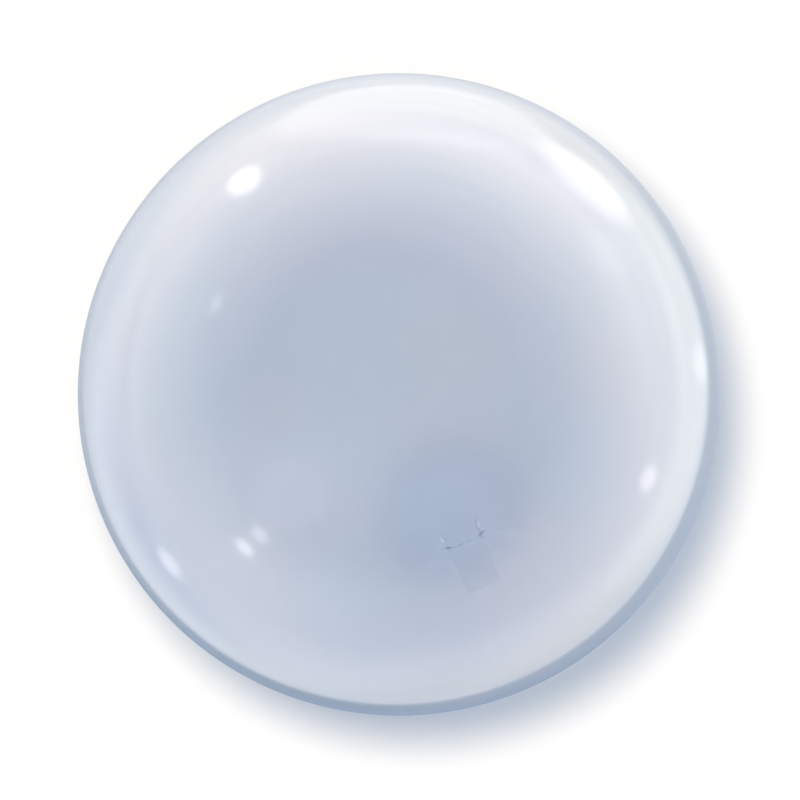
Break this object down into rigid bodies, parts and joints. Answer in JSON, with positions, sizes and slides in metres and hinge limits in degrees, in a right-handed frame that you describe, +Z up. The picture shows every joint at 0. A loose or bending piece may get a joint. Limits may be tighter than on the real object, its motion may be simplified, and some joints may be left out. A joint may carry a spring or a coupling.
{
  "type": "clear bubble balloon",
  "caption": "Round clear film balloon, filled and sealed, lying on a small flat contact spot with its pleated neck and short flat tail tucked underneath.",
  "frame": {"origin": "middle of the flat contact spot that the ball rests on, straight below the ball's middle", "axes": "+Z up through the middle of the ball; the neck and tail lie under the ball on the side of +X and -Y"},
  "size_m": [0.61, 0.61, 0.6085],
  "materials": {
    "clear_film": "clear glossy stretch film with a faint cool blue-grey tint"
  },
  "bodies": {
    "root": {"balloon_envelope": "clear_film"}
  },
  "joints": []
}
